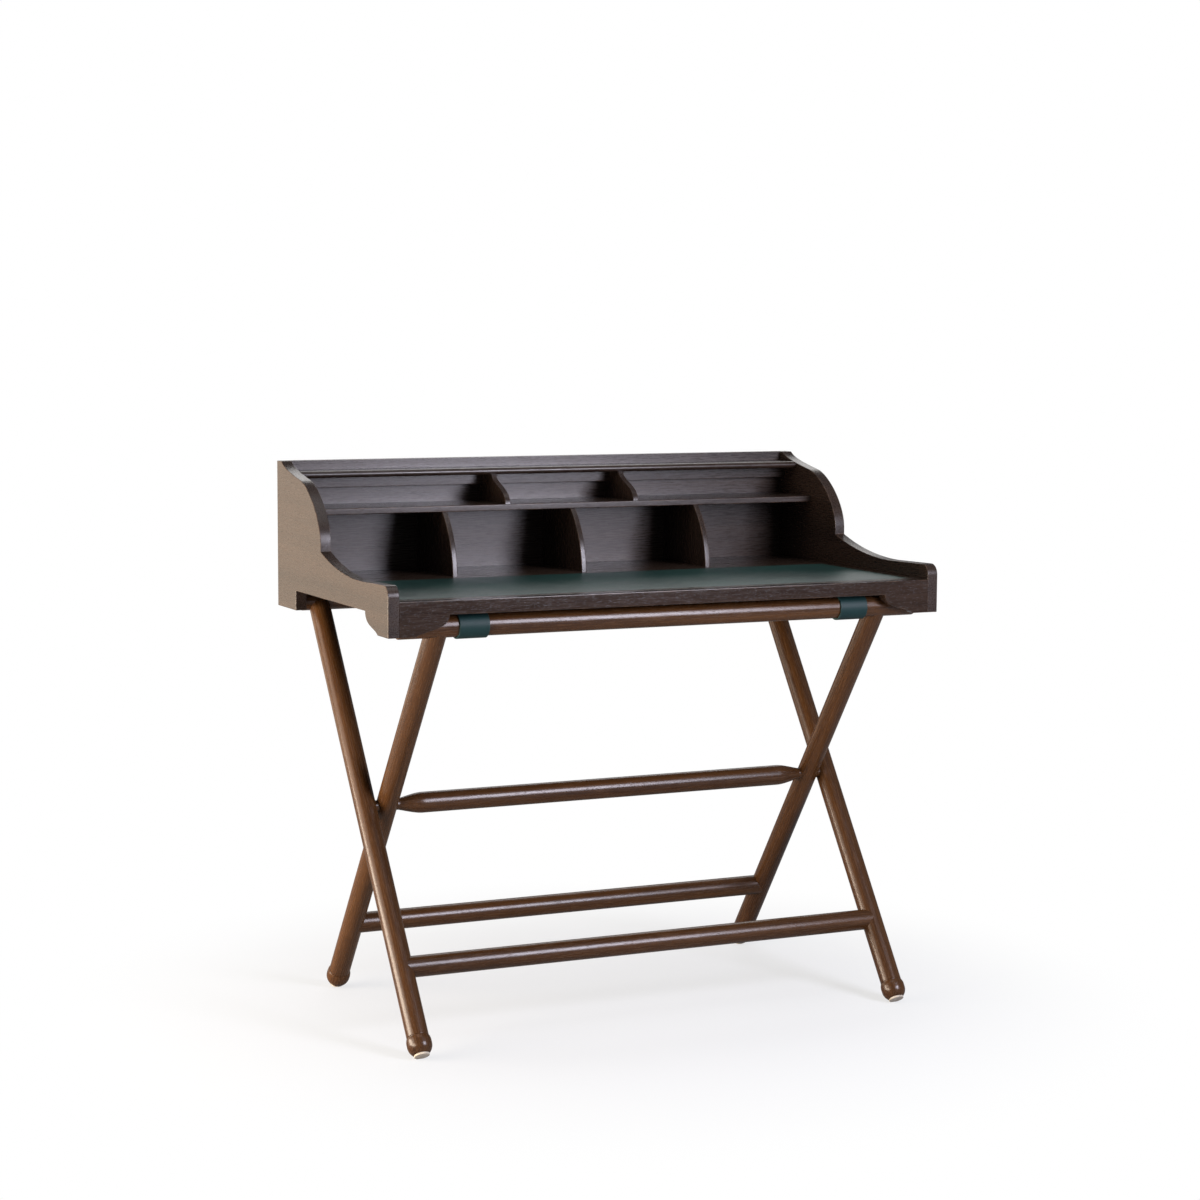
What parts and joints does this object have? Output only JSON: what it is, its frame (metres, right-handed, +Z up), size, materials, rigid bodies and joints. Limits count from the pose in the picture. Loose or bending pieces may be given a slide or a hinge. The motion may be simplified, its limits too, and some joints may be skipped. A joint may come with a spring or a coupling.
{
  "type": "campaign writing desk",
  "caption": "Writing desk with an open pigeonhole gallery between roll profiled sides and a leather topped board, on a folding X trestle of turned legs.",
  "frame": {"origin": "on the floor, under the middle of the desk's width and depth", "axes": "+Z up, front of the desk towards -Y, +X to the right as seen from the front"},
  "size_m": [1.05, 0.565, 0.977],
  "materials": {
    "dark_wood": "satin espresso stain, open grain",
    "dowel_wood": "satin brown lacquer on turned wood",
    "desk_leather": "smooth dark green writing leather",
    "strap_leather": "dark teal green strap leather",
    "glide": "cream glide disc",
    "screw_metal": "dull brass screw"
  },
  "bodies": {
    "desktop": {"left_side_board": "dark_wood", "right_side_board": "dark_wood", "front_rail": "dark_wood", "rear_rail": "dark_wood", "writing_board": "dark_wood", "leather_inset": "desk_leather", "back_panel": "dark_wood", "gallery_top": "dark_wood", "top_rail": "dark_wood", "middle_shelf": "dark_wood", "upper_divider_left": "dark_wood", "upper_divider_right": "dark_wood", "lower_divider_left": "dark_wood", "lower_divider_centre": "dark_wood", "lower_divider_right": "dark_wood", "strap_left": "strap_leather", "strap_right": "strap_leather", "strap_screws": "screw_metal", "rear_pads": "strap_leather"},
    "inner_frame": {"inner_leg_left": "dowel_wood", "inner_leg_right": "dowel_wood", "front_top_dowel": "dowel_wood", "middle_stretcher": "dowel_wood", "rear_lower_stretcher": "dowel_wood", "inner_foot_glides": "glide"},
    "outer_frame": {"outer_leg_left": "dowel_wood", "outer_leg_right": "dowel_wood", "rear_top_dowel": "dowel_wood", "front_lower_stretcher": "dowel_wood", "outer_foot_glides": "glide"}
  },
  "joints": [
    {"name": "trestle_fold", "type": "hinge", "parent": "desktop", "child": "inner_frame", "pos_m": [0, -0.2427, 0.7262], "axis": [-1, 0, 0], "range_deg": [0, 30]},
    {"name": "scissor_pivot", "type": "hinge", "parent": "inner_frame", "child": "outer_frame", "pos_m": [0, 0, 0.385], "axis": [1, 0, 0], "range_deg": [0, 60]}
  ],
  "couplings": [
    {"joint": "scissor_pivot", "follows": "trestle_fold", "ratio": 2}
  ]
}
